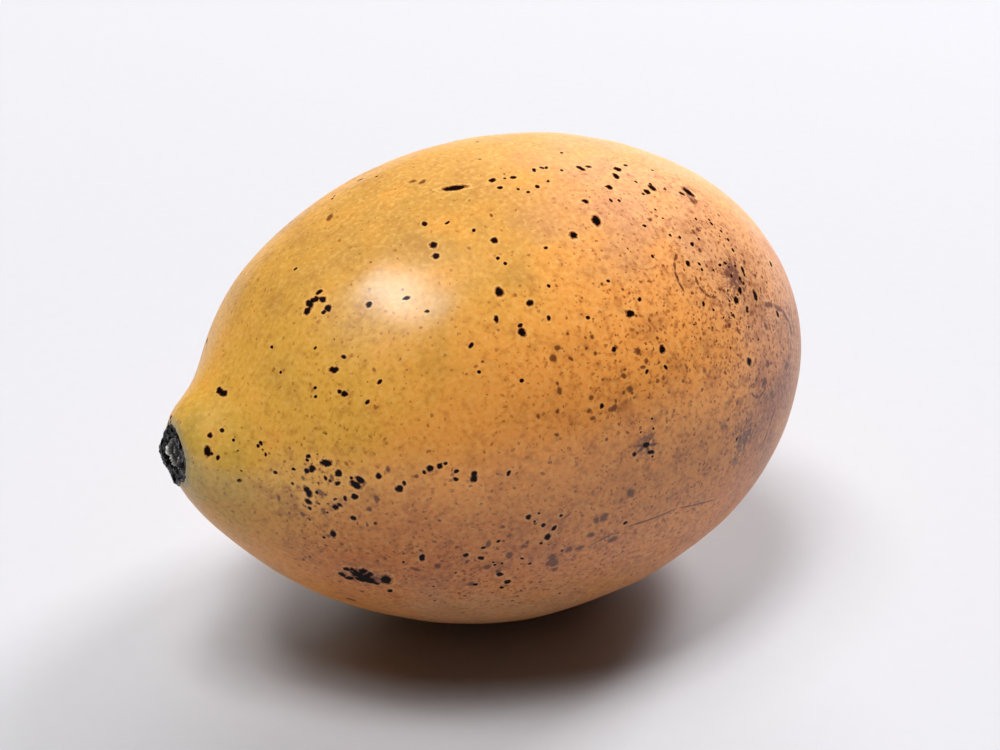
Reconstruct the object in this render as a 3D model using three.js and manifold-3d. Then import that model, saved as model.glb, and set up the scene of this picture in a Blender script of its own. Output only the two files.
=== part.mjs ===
// A ripe marian plum lying on its side, in millimetres, with +Z up. The origin is the middle of the small
// flat spot that the fruit rests on. Its stem end points along -X and its blossom end along +X.
import * as THREE from "three";
import { mergeVertices } from "three/addons/utils/BufferGeometryUtils.js";
import Module from "manifold-3d";

// The fruit is an egg. Both of its ends are measured from the widest place, the girth.
const GIRTH_RADIUS = 22.25;
const STEM_REACH = 33.4;
const BLOSSOM_REACH = 29.3;
const TAPER = { share: 0.25, power: 2.25 }; // the radius lost at the stem tip, and how late it goes
const TIP_LIFT = { height: 1.6, power: 11 }; // how far the stem tip rises off the axis, and how late

// The neck is a soft pinch behind the stem tip, deepest on the upper side. Its place and its width are shares
// of the stem reach.
const NECK = { depth: 1.6, place: 0.86, width: 0.115, topBias: 0.55 };

// Low swells keep the fruit from being perfectly round, a little wider than high. They fade towards both tips.
const SWELLS = [
  { height: 0.2, along: 0, around: 2, phase: 0 },
  { height: 0.12, along: 2, around: 3, phase: -Math.PI / 2 },
];

const REST_DEPTH = 0.6; // how deep the round underside is flattened where the fruit rests
const AXIS_HEIGHT = GIRTH_RADIUS - REST_DEPTH;

// The stem seat is a shallow round recess at the stem tip. It holds the dry calyx collar, and the broken stalk
// stands in the collar's bore. The seat's rim lies a setback behind the tip, and the seat faces upwards and
// sideways by a rise and a turn in degrees.
const SEAT = { setback: 0.8, depth: 1.0, rise: 4, turn: 1 };
const COLLAR = { radius: 2.9, bore: 1.85, height: 0.4, lobes: 5, lobeDepth: 0.12 };
const STALK = { radius: 1.5, height: 0.5, crown: 0.2 };
const GAP = 0.3; // the clearance left between touching pieces

const AROUND = 60; // faces round the fruit
const ALONG = 44; // faces from tip to tip
const STEM_AROUND = 40; // faces round the collar and the stalk

const wasm = await Module();
wasm.setup();

/** A manifold-3d solid from a closed three.js geometry. */
function solidOf(geometry) {
  const bare = geometry.clone();
  bare.deleteAttribute("normal");
  bare.deleteAttribute("uv");
  const merged = mergeVertices(bare);
  return new wasm.Manifold(
    new wasm.Mesh({
      numProp: 3,
      vertProperties: merged.getAttribute("position").array,
      triVerts: new Uint32Array(merged.getIndex().array),
    }),
  );
}

/** A three.js geometry with the faces of a manifold-3d solid. */
function geometryOf(solid) {
  const mesh = solid.getMesh();
  const geometry = new THREE.BufferGeometry();
  geometry.setAttribute("position", new THREE.BufferAttribute(mesh.vertProperties, mesh.numProp));
  geometry.setIndex(new THREE.BufferAttribute(mesh.triVerts, 1));
  geometry.computeVertexNormals();
  return geometry;
}

/** How far the skin stands out, or in, at a share of the way to a tip and an angle around the axis. */
function swellAt(share, around) {
  const fade = 1 - share * share;
  const waves = SWELLS.map((s) => s.height * Math.cos(s.along * share + s.around * around + s.phase));
  return fade * waves.reduce((sum, wave) => sum + wave, 0);
}

/** How deep the neck pinches the skin in, at a share of the stem reach and an angle around the axis. */
function neckAt(stemShare, around) {
  const closeness = Math.exp(-(((stemShare - NECK.place) / NECK.width) ** 2));
  return NECK.depth * closeness * (1 + NECK.topBias * Math.sin(around));
}

/** How high the middle of the fruit lies above the floor, at a share of the stem reach. */
function middleHeight(stemShare) {
  return AXIS_HEIGHT + TIP_LIFT.height * stemShare ** TIP_LIFT.power;
}

/** The point of the skin that a direction out of the unit sphere stands for; -X is towards the stem. */
function skinPoint(direction) {
  const stemShare = Math.max(-direction.x, 0);
  const reach = direction.x < 0 ? STEM_REACH : BLOSSOM_REACH;
  const ring = Math.hypot(direction.y, direction.z);
  const around = Math.atan2(direction.z, direction.y);
  const egg = GIRTH_RADIUS * (1 - TAPER.share * stemShare ** TAPER.power);
  const pinch = ring > 0 ? neckAt(stemShare, around) : 0;
  const radius = Math.max(ring * egg - pinch, 0) + swellAt(direction.x, around);
  return new THREE.Vector3(
    direction.x * reach,
    radius * Math.cos(around),
    middleHeight(stemShare) + radius * Math.sin(around),
  );
}

/** The whole round fruit, with no flat spot and no seat. It is a unit sphere with its poles turned to the two
 * tips and each of its points moved out to the skin. */
function roundFruit() {
  const geometry = new THREE.SphereGeometry(1, AROUND, ALONG);
  geometry.rotateZ(Math.PI / 2);
  const position = geometry.getAttribute("position");
  const direction = new THREE.Vector3();
  for (let i = 0; i < position.count; i++) {
    direction.fromBufferAttribute(position, i);
    position.setXYZ(i, ...skinPoint(direction));
  }
  return geometry;
}

/** A piece turned about +Y from its [radius, height] pairs, which start and end on the axis or close up. */
function turned(pairs) {
  return new THREE.LatheGeometry(
    pairs.map(([radius, height]) => new THREE.Vector2(radius, height)),
    STEM_AROUND,
  );
}

/** The space that the stem seat takes out of the tip: a disc from its floor out past the tip. */
function seatSpace() {
  const wide = COLLAR.radius + GAP;
  const clear = 3 * SEAT.setback;
  return turned([
    [0, -SEAT.depth],
    [wide, -SEAT.depth],
    [wide, clear],
    [0, clear],
  ]);
}

/** The calyx collar: a turned ring whose outer wall is drawn in, and whose rim dips, between its lobes. */
function calyxCollar() {
  const floor = GAP - SEAT.depth;
  const ring = turned([
    [COLLAR.bore, floor],
    [COLLAR.radius, floor],
    [COLLAR.radius, 0.3 * COLLAR.height],
    [0.95 * COLLAR.radius, 0.8 * COLLAR.height],
    [0.85 * COLLAR.radius, COLLAR.height],
    [1.1 * COLLAR.bore, 0.9 * COLLAR.height],
    [COLLAR.bore, 0.7 * COLLAR.height],
    [COLLAR.bore, floor],
  ]);
  const position = ring.getAttribute("position");
  for (let i = 0; i < position.count; i++) {
    const [x, y, z] = [position.getX(i), position.getY(i), position.getZ(i)];
    const radius = Math.hypot(x, z);
    const between = (1 - Math.cos(COLLAR.lobes * Math.atan2(z, x))) / 2;
    const outer = THREE.MathUtils.smoothstep(radius, COLLAR.bore, COLLAR.radius);
    const drawn = 1 - (2 * COLLAR.lobeDepth * outer * between) / radius;
    const dip = y > 0 ? COLLAR.lobeDepth * between : 0;
    position.setXYZ(i, x * drawn, y - dip, z * drawn);
  }
  return ring;
}

/** The stalk stub: a short plug with a hollow crown where the stalk broke off. */
function stalkStub() {
  return turned([
    [0, GAP - SEAT.depth],
    [STALK.radius, GAP - SEAT.depth],
    [STALK.radius, STALK.height - STALK.crown],
    [0.8 * STALK.radius, STALK.height],
    [0, STALK.height - STALK.crown],
  ]);
}

/** A named mesh with a material of its own. */
function piece(name, geometry, color, roughness) {
  const mesh = new THREE.Mesh(geometry, new THREE.MeshStandardMaterial({ color, roughness, metalness: 0 }));
  mesh.name = name;
  return mesh;
}

// The stem end's own frame stands on the seat's rim, with +Y straight out of the fruit.
const rise = THREE.MathUtils.degToRad(SEAT.rise);
const turn = THREE.MathUtils.degToRad(SEAT.turn);
const outwards = new THREE.Vector3(-Math.cos(rise) * Math.cos(turn), -Math.sin(turn), Math.sin(rise));
const stemEnd = new THREE.Group();
stemEnd.position.set(SEAT.setback - STEM_REACH, 0, middleHeight(1 - SEAT.setback / STEM_REACH));
stemEnd.quaternion.setFromUnitVectors(new THREE.Vector3(0, 1, 0), outwards.normalize());
stemEnd.updateMatrix();

const ground = new THREE.BoxGeometry(4 * STEM_REACH, 4 * STEM_REACH, 4 * REST_DEPTH);
ground.translate(0, 0, -2 * REST_DEPTH);
const seat = seatSpace().applyMatrix4(stemEnd.matrix);
const fruit = solidOf(roundFruit()).subtract(solidOf(ground)).subtract(solidOf(seat));

const part = new THREE.Group();
part.add(piece("fruit_body", geometryOf(fruit), 0xd9964a, 0.42));
stemEnd.add(piece("calyx_collar", calyxCollar(), 0x1d1814, 0.6));
stemEnd.add(piece("stalk_stub", stalkStub(), 0x6f675b, 0.85));
part.add(stemEnd);

export default part;
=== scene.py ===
"""A ripe marian plum on its side: freckled skin, dry calyx crust and broken stalk, in soft studio light.

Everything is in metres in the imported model's frame. +Z is up, the origin is the middle of the flat spot that
the fruit rests on, and the stem end points along -X. Shapes are worked out in millimetres and scaled as they
are made.
"""
import logging
import math
from dataclasses import dataclass, field
from enum import Enum
from typing import Any, Mapping, Optional, Sequence, Union

import bpy
import numpy as np
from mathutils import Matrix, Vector


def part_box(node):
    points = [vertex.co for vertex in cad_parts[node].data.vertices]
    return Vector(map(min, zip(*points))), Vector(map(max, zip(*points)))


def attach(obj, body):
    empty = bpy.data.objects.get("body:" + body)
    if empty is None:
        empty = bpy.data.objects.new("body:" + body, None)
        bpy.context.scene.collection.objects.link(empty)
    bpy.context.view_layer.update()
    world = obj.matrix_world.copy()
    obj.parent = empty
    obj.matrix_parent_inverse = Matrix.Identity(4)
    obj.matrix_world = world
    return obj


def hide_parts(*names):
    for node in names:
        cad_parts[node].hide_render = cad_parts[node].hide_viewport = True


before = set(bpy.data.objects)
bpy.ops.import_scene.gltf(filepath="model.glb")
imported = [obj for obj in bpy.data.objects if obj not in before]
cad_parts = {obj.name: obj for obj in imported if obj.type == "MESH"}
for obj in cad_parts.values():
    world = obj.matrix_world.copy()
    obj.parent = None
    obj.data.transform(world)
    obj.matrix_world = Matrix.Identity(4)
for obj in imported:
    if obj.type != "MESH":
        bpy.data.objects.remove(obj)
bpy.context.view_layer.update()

MM = 0.001
Colour = tuple[float, float, float, float]
log = logging.getLogger("marian_plum")


def srgb(red: float, green: float, blue: float) -> Colour:
    """The linear colour of three screen values from 0 to 255."""
    shares = (c / 255 for c in (red, green, blue))
    linear = [s / 12.92 if s <= 0.04045 else ((s + 0.055) / 1.055) ** 2.4 for s in shares]
    return (linear[0], linear[1], linear[2], 1.0)


# ------------------------------------------------------------------------------
# Shader arithmetic
# ------------------------------------------------------------------------------


@dataclass(frozen=True)
class Socket:
    """An output socket of a material's nodes. Arithmetic on it adds Math nodes."""

    graph: "Graph"
    source: bpy.types.NodeSocket

    def __add__(self, other: "Value") -> "Socket":
        """The sum."""
        return self.graph.maths("ADD", self, other)

    def __sub__(self, other: "Value") -> "Socket":
        """The difference."""
        return self.graph.maths("SUBTRACT", self, other)

    def __rsub__(self, other: float) -> "Socket":
        """A number less this."""
        return self.graph.maths("SUBTRACT", other, self)

    def __mul__(self, other: "Value") -> "Socket":
        """The product."""
        return self.graph.maths("MULTIPLY", self, other)

    __radd__ = __add__
    __rmul__ = __mul__

    def at_least(self, other: "Value") -> "Socket":
        """The larger of the two."""
        return self.graph.maths("MAXIMUM", self, other)

    def rise(self, low: "Value", high: "Value") -> "Socket":
        """0 up to low and 1 from high, with a smooth step between."""
        values = {"Value": self, "From Min": low, "From Max": high}
        made = self.graph.node("ShaderNodeMapRange", {"interpolation_type": "SMOOTHSTEP"}, values)
        return self.graph.output(made, "Result")


Value = Union[Socket, float]


class Graph:
    """The node tree of one new material."""

    def __init__(self, name: str) -> None:
        """Makes the material, with its Principled shader at self.shader.

        Args:
            name: the material's name.
        """
        self.material = bpy.data.materials.new(name)
        self.material.use_nodes = True
        self.tree = self.material.node_tree
        self.shader = self.tree.nodes["Principled BSDF"]

    def node(
        self,
        kind: str,
        settings: Optional[Mapping[str, Any]] = None,
        values: Optional[Mapping[Union[str, int], Any]] = None,
    ) -> bpy.types.Node:
        """Adds a node, sets it up, and then fills its input sockets.

        Args:
            kind: the node's type.
            settings: its properties; "stops" gives a colour ramp's pairs of place and colour.
            values: a number, colour or Socket for each input, by name or by number.

        Returns:
            The node.
        """
        made = self.tree.nodes.new(kind)
        for name, setting in (settings or {}).items():
            if name == "stops":
                self._set_stops(made.color_ramp, setting)
            else:
                setattr(made, name, setting)
        for name, value in (values or {}).items():
            self.fill(made, name, value)
        return made

    @staticmethod
    def _set_stops(ramp: bpy.types.ColorRamp, stops: Sequence[tuple[float, Colour]]) -> None:
        """Gives a ramp its stops, in order of place."""
        for _ in range(len(stops) - len(ramp.elements)):
            ramp.elements.new(1.0)
        for element, (place, colour) in zip(ramp.elements, stops):
            element.position = place
            element.color = colour

    def fill(self, node: bpy.types.Node, name: Union[str, int], value: Any) -> None:
        """Links a Socket to one of the node's inputs, or sets the input to a value."""
        if isinstance(value, Socket):
            self.tree.links.new(value.source, node.inputs[name])
        else:
            node.inputs[name].default_value = value

    def output(self, node: bpy.types.Node, name: Union[str, int]) -> Socket:
        """One of the node's outputs."""
        return Socket(self, node.outputs[name])

    def maths(self, operation: str, first: Value, second: Value) -> Socket:
        """A Math node on two values."""
        return self.output(self.node("ShaderNodeMath", {"operation": operation}, {0: first, 1: second}), 0)

    def mix(self, share: Value, first: Any, second: Any) -> Socket:
        """A colour that goes from the first to the second as share goes from 0 to 1."""
        # the node's colour sockets share their names with its other kinds', so they go by number
        settings = {"data_type": "RGBA", "clamp_factor": True}
        made = self.node("ShaderNodeMix", settings, {"Factor": share, 6: first, 7: second})
        return self.output(made, 2)

    def ramp(self, share: Socket, stops: Sequence[tuple[float, Colour]]) -> Socket:
        """The colour at a share of the way along the stops."""
        return self.output(self.node("ShaderNodeValToRGB", {"stops": stops}, {"Fac": share}), "Color")

    def vector_maths(
        self, operation: str, values: Mapping[Union[str, int], Any], output: str = "Vector"
    ) -> Socket:
        """A Vector Math node."""
        return self.output(self.node("ShaderNodeVectorMath", {"operation": operation}, values), output)

    def millimetres(self) -> Socket:
        """The place on the piece, in millimetres."""
        place = self.output(self.node("ShaderNodeTexCoord"), "Object")
        return self.vector_maths("SCALE", {0: place, "Scale": 1 / MM})

    def attribute(self, name: str, output: str = "Fac") -> Socket:
        """A value that the piece's mesh holds at each of its points."""
        return self.output(self.node("ShaderNodeAttribute", {"attribute_name": name}), output)

    def noise(self, place: Socket, size: float, detail: float = 2.0, output: str = "Fac") -> Socket:
        """Cloudy noise from about 0.25 to 0.75.

        Args:
            place: where it is read, in millimetres.
            size: the width of its clouds, in millimetres.
            detail: how many finer octaves it has.
            output: "Fac" for a number or "Color" for three.

        Returns:
            The noise.
        """
        values = {"Vector": place, "Scale": 1 / size, "Detail": detail}
        return self.output(self.node("ShaderNodeTexNoise", None, values), output)

    def dots(self, place: Socket, spacing: float, width: tuple[float, float], wanted: Value) -> Socket:
        """Scattered round dots, cut from balls at random places in space.

        Args:
            place: where they are read, in millimetres.
            spacing: the distance between neighbouring balls, in millimetres.
            width: the smallest and the largest radius, as shares of the spacing.
            wanted: the share of the balls that shows, from 0 to 1.

        Returns:
            1 in the dots and 0 between them.
        """
        cells = self.node("ShaderNodeTexVoronoi", None, {"Vector": place, "Scale": 1 / spacing})
        chances = self.node("ShaderNodeSeparateColor", None, {"Color": self.output(cells, "Color")})
        low, high = width
        radius = low + self.output(chances, "Red") * (high - low)
        inside = 1 - self.output(cells, "Distance").rise(radius * 0.7, radius)
        shown = (wanted - self.output(chances, "Green")).rise(0.0, 0.04)
        return inside * shown


# ------------------------------------------------------------------------------
# Surfaces on a grid
# ------------------------------------------------------------------------------


def grid_faces(rows: int, columns: int, closed_rows: bool) -> np.ndarray:
    """The quads of a grid whose columns close up into rings.

    Args:
        rows: how many rings there are.
        columns: how many points each ring has.
        closed_rows: True if the last ring joins the first.

    Returns:
        The four corners of each quad. They turn from the rings' own direction towards the next ring.
    """
    joined_rows = rows if closed_rows else rows - 1
    row, column = np.meshgrid(np.arange(joined_rows), np.arange(columns), indexing="ij")
    next_row = (row + 1) % rows
    next_column = (column + 1) % columns
    corners = (row, column), (row, next_column), (next_row, next_column), (next_row, column)
    return np.stack([r * columns + c for r, c in corners], axis=-1).reshape(-1, 4)


def new_piece(name: str, rings: np.ndarray, tips: Optional[np.ndarray] = None) -> bpy.types.Object:
    """Makes a closed mesh object from rings of points.

    Args:
        name: the object's name.
        rings: its rings, each a row of points in millimetres.
        tips: the points that close the first and the last ring; without them the last ring joins the first.

    Returns:
        The object, at the origin, with smooth shading.
    """
    count, columns, _ = rings.shape
    points = rings.reshape(-1, 3)
    faces = grid_faces(count, columns, tips is None).tolist()
    if tips is not None:
        column = np.arange(columns)
        onward = (column + 1) % columns
        last = (count - 1) * columns
        first_tip = np.full(columns, len(points))
        faces += np.stack([first_tip, onward, column], axis=-1).tolist()
        faces += np.stack([first_tip + 1, last + column, last + onward], axis=-1).tolist()
        points = np.vstack([points, tips])
    mesh = bpy.data.meshes.new(name)
    mesh.from_pydata(points * MM, [], faces)
    mesh.shade_smooth()
    made = bpy.data.objects.new(name, mesh)
    bpy.context.scene.collection.objects.link(made)
    return made


def store(piece: bpy.types.Object, name: str, values: np.ndarray) -> None:
    """Writes a number, or a vector, for each point of a piece into its mesh."""
    kind, slot = ("FLOAT_VECTOR", "vector") if values.ndim == 2 else ("FLOAT", "value")
    piece.data.attributes.new(name, kind, "POINT").data.foreach_set(slot, values.astype(np.float32).ravel())


def smooth_step(values: np.ndarray, low: float, high: float) -> np.ndarray:
    """0 up to low and 1 from high, with a smooth step between."""
    share = np.clip((values - low) / (high - low), 0, 1)
    return share * share * (3 - 2 * share)


def soft_floor(values: np.ndarray, floor: Union[float, np.ndarray], softness: float) -> np.ndarray:
    """The larger of the values and the floor, rounded off where they meet: the mean of the two plus half the
    length of their difference and the softness taken together."""
    return (values + floor + np.sqrt((values - floor) ** 2 + softness**2)) / 2


def unit(vectors: np.ndarray) -> np.ndarray:
    """The vectors at a length of 1."""
    return vectors / np.linalg.norm(vectors, axis=-1, keepdims=True)


@dataclass(frozen=True)
class Waves:
    """A rough height over space: a sum of plane waves that run in random directions.

    Args:
        seed: picks the waves.
        length: the longest wave, in millimetres.
        height: the height of the longest wave, in millimetres.
        octaves: how many times the waves halve in length.
        count: how many waves each octave has.
        creased: True folds each wave into sharp creases.
    """

    seed: int
    length: float
    height: float
    octaves: int = 1
    count: int = 6
    creased: bool = False

    def at(self, points: np.ndarray) -> np.ndarray:
        """The height at each point. Each wave is the sine of the place along its direction, or 1 less twice
        the size of that sine where it is creased. Each octave is half as high as the one before."""
        random = np.random.default_rng(self.seed)
        total = np.zeros(points.shape[:-1])
        for octave in range(self.octaves):
            directions = unit(random.normal(size=(self.count, 3))) * (2 * math.pi * 2**octave / self.length)
            wave = np.sin(points @ directions.T + random.uniform(0, 2 * math.pi, self.count))
            if self.creased:
                wave = 1 - 2 * np.abs(wave)
            total += wave.mean(axis=-1) * self.height / 2**octave
        return total


# ------------------------------------------------------------------------------
# The fruit's grown shape
# ------------------------------------------------------------------------------


@dataclass(frozen=True)
class FruitForm:
    """The round fruit as a surface over two angles, in millimetres.

    The tip angle runs from 0 at the stem tip to pi at the blossom tip. The other angle turns from +Y up
    through +Z.
    """

    stem_reach: float
    blossom_reach: float
    girth_radius: float
    axis_height: float
    taper: float = 0.25
    taper_power: float = 2.25
    lift: float = 1.6
    lift_power: float = 11
    neck_depth: float = 1.6
    neck_place: float = 0.86
    neck_width: float = 0.115
    neck_top_bias: float = 0.55
    neck_fade: float = 0.12
    oval: float = 0.2
    drift: float = 0.12

    @classmethod
    def from_box(cls, low: Vector, high: Vector, cut_off: float = 0.72) -> "FruitForm":
        """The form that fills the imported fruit's box, whose stem tip is cut off by the seat.

        Args:
            low: the box's lowest corner, in metres.
            high: its highest corner.
            cut_off: how far the whole tip would reach past the box, in millimetres.

        Returns:
            The form.
        """
        girth_radius = (high.y - low.y) / 2 / MM - cls.oval
        crown = high.z / MM
        return cls(
            stem_reach=cut_off - low.x / MM,
            blossom_reach=high.x / MM,
            girth_radius=girth_radius,
            axis_height=crown - girth_radius + cls.oval + cls.drift,
        )

    def point(self, tip_angle: np.ndarray, around: np.ndarray) -> np.ndarray:
        """The skin's points. The radius is the girth times the sine of the tip angle, less a taper that
        grows with a power of the way to the stem tip and less a bell-shaped pinch at the neck, which is
        deeper on top and fades out at the tip itself. Two low waves round the fruit are added, and the stem
        tip is lifted by a high power of the way to it.

        Args:
            tip_angle: the angle from the stem tip, in radians.
            around: the angle around the axis, in radians.

        Returns:
            The points.
        """
        share = -np.cos(tip_angle)
        ring = np.sin(tip_angle)
        stem_share = np.maximum(-share, 0)
        egg = self.girth_radius * (1 - self.taper * stem_share**self.taper_power)
        closeness = np.exp(-(((stem_share - self.neck_place) / self.neck_width) ** 2))
        pinch = self.neck_depth * closeness * (1 + self.neck_top_bias * np.sin(around))
        pinch = pinch * smooth_step(ring, 0, self.neck_fade)
        swell = self.oval * np.cos(2 * around) + self.drift * np.sin(2 * share + 3 * around)
        radius = ring * egg - pinch + (1 - share**2) * swell
        along = np.where(share < 0, share * self.stem_reach, share * self.blossom_reach)
        height = self.axis_height + self.lift * stem_share**self.lift_power
        return np.stack([along, radius * np.cos(around), height + radius * np.sin(around)], axis=-1)

    def spot(self, along: float, turn: float) -> np.ndarray:
        """The skin's point at a place along the axis, in millimetres, and at a turn in degrees that goes
        from 0 at the crown through 90 at the near side to 180 underneath."""
        reach = self.stem_reach if along < 0 else self.blossom_reach
        return self.point(np.array(math.acos(-along / reach)), np.array(math.radians(90 + turn)))


@dataclass(frozen=True)
class StemSeat:
    """The place at the stem tip where the calyx sits, in millimetres: a middle and three directions."""

    middle: np.ndarray
    outward: np.ndarray
    sideways: np.ndarray
    upward: np.ndarray

    @classmethod
    def from_stalk(
        cls, low: Vector, high: Vector, rise: float = 4, turn: float = 1, aside: float = 0.45
    ) -> "StemSeat":
        """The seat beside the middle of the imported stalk.

        Args:
            low: the lowest corner of the stalk's box, in metres.
            high: its highest corner.
            rise: how far the seat faces upwards, in degrees.
            turn: how far it faces sideways, in degrees.
            aside: how far its middle lies to the far side of the stalk's, in millimetres.

        Returns:
            The seat.
        """
        rise, turn = math.radians(rise), math.radians(turn)
        outward = unit(np.array([-math.cos(rise) * math.cos(turn), -math.sin(turn), math.sin(rise)]))
        sideways = unit(np.cross(outward, [0, 0, 1]))
        stalk_middle = np.array((low + high) / 2) / MM
        under_rim = 0.11
        middle = stalk_middle + under_rim * outward + aside * sideways
        return cls(middle, outward, sideways, np.cross(sideways, outward))

    def place(self, radius: np.ndarray, angle: np.ndarray, height: np.ndarray) -> np.ndarray:
        """The points at a radius, an angle from sideways up, and a height outwards."""
        across = (radius * np.cos(angle))[..., None] * self.sideways
        up = (radius * np.sin(angle))[..., None] * self.upward
        return self.middle + across + up + height[..., None] * self.outward

    def measure(self, points: np.ndarray) -> tuple[np.ndarray, np.ndarray, np.ndarray]:
        """The radius, the angle and the height of each point."""
        across = (points - self.middle) @ self.sideways
        up = (points - self.middle) @ self.upward
        return np.hypot(across, up), np.arctan2(up, across), (points - self.middle) @ self.outward


# ------------------------------------------------------------------------------
# Marks on the skin
# ------------------------------------------------------------------------------


DEGREES_PER_MM = 3.0  # how far a millimetre goes round the fruit, taken as the same all along it


class Blemish:
    """Something small on the skin that has a length and a width."""

    width: float
    relief: float = 0.0

    def ends(self, form: FruitForm) -> tuple[np.ndarray, np.ndarray]:
        """The two ends of its length, in millimetres."""
        raise NotImplementedError

    def local(self, points: np.ndarray, form: FruitForm) -> np.ndarray:
        """The points as seen from it: along its length, across it and out of the skin, each as a share of
        half its size, so that its edge is 1 away from its middle."""
        start, end = self.ends(form)
        middle = (start + end) / 2
        facing = 0.6  # the skin faces away from a point at this share of its place along the axis
        outward = unit(middle - [middle[0] * facing, 0, form.axis_height])
        lengthwise = unit(end - start)
        across = unit(np.cross(outward, lengthwise))
        half = self.width / 2
        half_length = np.linalg.norm(end - start) / 2
        axes = [lengthwise / half_length, across / half, np.cross(lengthwise, across) / half]
        return (points - middle) @ np.array(axes).T

    def covers(self, seen: np.ndarray, form: FruitForm, margin: float) -> np.ndarray:
        """The points, seen from it, that lie within a margin in millimetres round its halo."""
        start, end = self.ends(form)
        halo = 1.9
        depth = 2  # out of the skin it goes this many halves of its width and as many millimetres
        half = self.width / 2
        half_length = np.linalg.norm(end - start) / 2
        grown = np.array([halo + margin / half_length, halo + margin / half, depth + depth / half])
        return ((seen / grown) ** 2).sum(axis=-1) < 1


@dataclass(frozen=True)
class Mark(Blemish):
    """A round or long speck.

    Args:
        along: its place along the fruit's axis, in millimetres.
        turn: its turn from the crown towards the near side, in degrees.
        width: in millimetres.
        stretch: its length over its width.
        lean: how far its length turns off the fruit's axis, in degrees.
        relief: how far it stands out of the skin, in millimetres.
    """

    along: float
    turn: float
    width: float
    stretch: float = 1.0
    lean: float = 0.0
    relief: float = 0.0

    def ends(self, form: FruitForm) -> tuple[np.ndarray, np.ndarray]:
        """The two ends of its length, in millimetres."""
        step = 0.5
        middle = form.spot(self.along, self.turn)
        lengthwise = unit(form.spot(self.along + step, self.turn) - form.spot(self.along - step, self.turn))
        round_about = unit(form.spot(self.along, self.turn + step) - form.spot(self.along, self.turn - step))
        lean = math.radians(self.lean)
        reach = (math.cos(lean) * lengthwise + math.sin(lean) * round_about) * self.width * self.stretch / 2
        return middle - reach, middle + reach


@dataclass(frozen=True)
class Streak(Blemish):
    """A thin straight line between two places, each an along and a turn."""

    start: tuple[float, float]
    end: tuple[float, float]
    width: float

    def ends(self, form: FruitForm) -> tuple[np.ndarray, np.ndarray]:
        """The two ends of its length, in millimetres."""
        return form.spot(*self.start), form.spot(*self.end)


def scratch(width: float, *places: tuple[float, float]) -> list[Streak]:
    """A bent line through some places, in straight streaks."""
    return [Streak(start, end, width) for start, end in zip(places, places[1:])]


def arc(width: float, along: float, turn: float, radius: float, start: float, sweep: float) -> list[Streak]:
    """A stretch of a circle on the skin, in straight streaks.

    Args:
        width: the line's width, in millimetres.
        along: the circle's middle along the fruit's axis, in millimetres.
        turn: its middle's turn from the crown, in degrees.
        radius: in millimetres.
        start: where the stretch begins, in degrees from towards the blossom end.
        sweep: how far it goes on from there, in degrees.

    Returns:
        The streaks.
    """
    streaks = 4
    angles = np.radians(np.linspace(start, start + sweep, streaks + 1))
    alongs = along + radius * np.cos(angles)
    turns = turn + radius * DEGREES_PER_MM * np.sin(angles)
    return scratch(width, *zip(alongs, turns))


def curls(seed: int, along: float, turn: float, spread: float, count: int) -> list[Streak]:
    """Thin bent lines at random round a place.

    Args:
        seed: picks the lines.
        along: the place along the fruit's axis, in millimetres.
        turn: its turn from the crown, in degrees.
        spread: how far out two in three of the lines lie, in millimetres.
        count: how many lines there are.

    Returns:
        The streaks of all the lines.
    """
    width = 0.3
    least, most = (1.2, 0, 50), (2.6, 360, 130)  # of a line's radius, start and sweep
    random = np.random.default_rng(seed)
    streaks = []
    for _ in range(count):
        middle = (random.normal(along, spread), random.normal(turn, spread * DEGREES_PER_MM))
        radius, start, sweep = random.uniform(least, most)
        streaks += arc(width, *middle, radius, start, sweep)
    return streaks


def star(seed: int, along: float, turn: float, reach: float, arms: int, width: float) -> list[Streak]:
    """Thin arms that spread from a place, evenly round it but for a little chance.

    Args:
        seed: picks the arms.
        along: the place along the fruit's axis, in millimetres.
        turn: its turn from the crown, in degrees.
        reach: the usual length of an arm, in millimetres.
        arms: how many there are.
        width: an arm's width, in millimetres.

    Returns:
        The arms.
    """
    chance = 0.35
    random = np.random.default_rng(seed)
    angles = np.arange(arms) * (2 * math.pi / arms) + random.normal(0, chance, arms)
    lengths = reach * random.uniform(0.5, 1.5, arms)
    alongs = along + lengths * np.cos(angles)
    turns = turn + lengths * DEGREES_PER_MM * np.sin(angles)
    return [Streak((along, turn), end, width) for end in zip(alongs, turns)]


def crowd(
    seed: int,
    along: float,
    turn: float,
    spread: float,
    count: int,
    length: float = 1.0,
    width: float = 0.37,
    relief: float = 0.0,
) -> list[Mark]:
    """Small marks at random round a place.

    Args:
        seed: picks the marks.
        along: the place along the fruit's axis, in millimetres.
        turn: its turn from the crown, in degrees.
        spread: how far round the fruit two in three of the marks lie, in millimetres.
        count: how many marks there are.
        length: the crowd's spread along the axis over its spread round it.
        width: the usual width of a mark, in millimetres.
        relief: how far the marks stand out of the skin, in millimetres.

    Returns:
        The marks.
    """
    first, last = -31.5, 27  # no mark lies past these places along the axis
    random = np.random.default_rng(seed)
    alongs = np.clip(random.normal(along, spread * length, count), first, last)
    turns = random.normal(turn, spread * DEGREES_PER_MM, count)
    widths = width * (0.65 + random.random(count) ** 2)
    stretches = 1 + 0.9 * random.random(count) ** 2
    leans = random.uniform(0, 180, count)
    return [Mark(*values, relief) for values in zip(alongs, turns, widths, stretches, leans)]


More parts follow.
